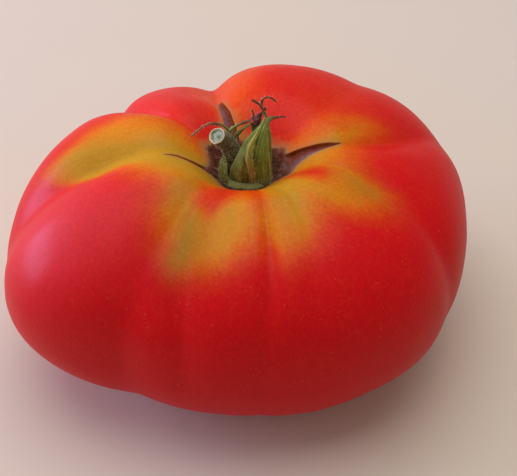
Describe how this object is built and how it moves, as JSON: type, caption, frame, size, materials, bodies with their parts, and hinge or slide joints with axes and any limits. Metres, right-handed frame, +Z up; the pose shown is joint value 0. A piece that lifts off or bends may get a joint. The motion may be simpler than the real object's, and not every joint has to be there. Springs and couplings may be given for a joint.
{
  "type": "beefsteak tomato",
  "caption": "Large flattened heirloom tomato with deep lobes, healed shoulder cracks, dried green calyx and a short cut stem, resting on its blossom end.",
  "frame": {"origin": "the middle of the footprint, on the surface that the fruit rests on", "axes": "+Z up along the fruit's core towards the stem, +X along the fruit's widest side, +Y away from the side that the picture shows"},
  "size_m": [0.1239, 0.1087, 0.0775],
  "materials": {
    "skin": "satin",
    "sepal": "matte",
    "stem": "matte"
  },
  "bodies": {
    "root": {"fruit": "skin", "calyx": "sepal", "stem": "stem"}
  },
  "joints": []
}
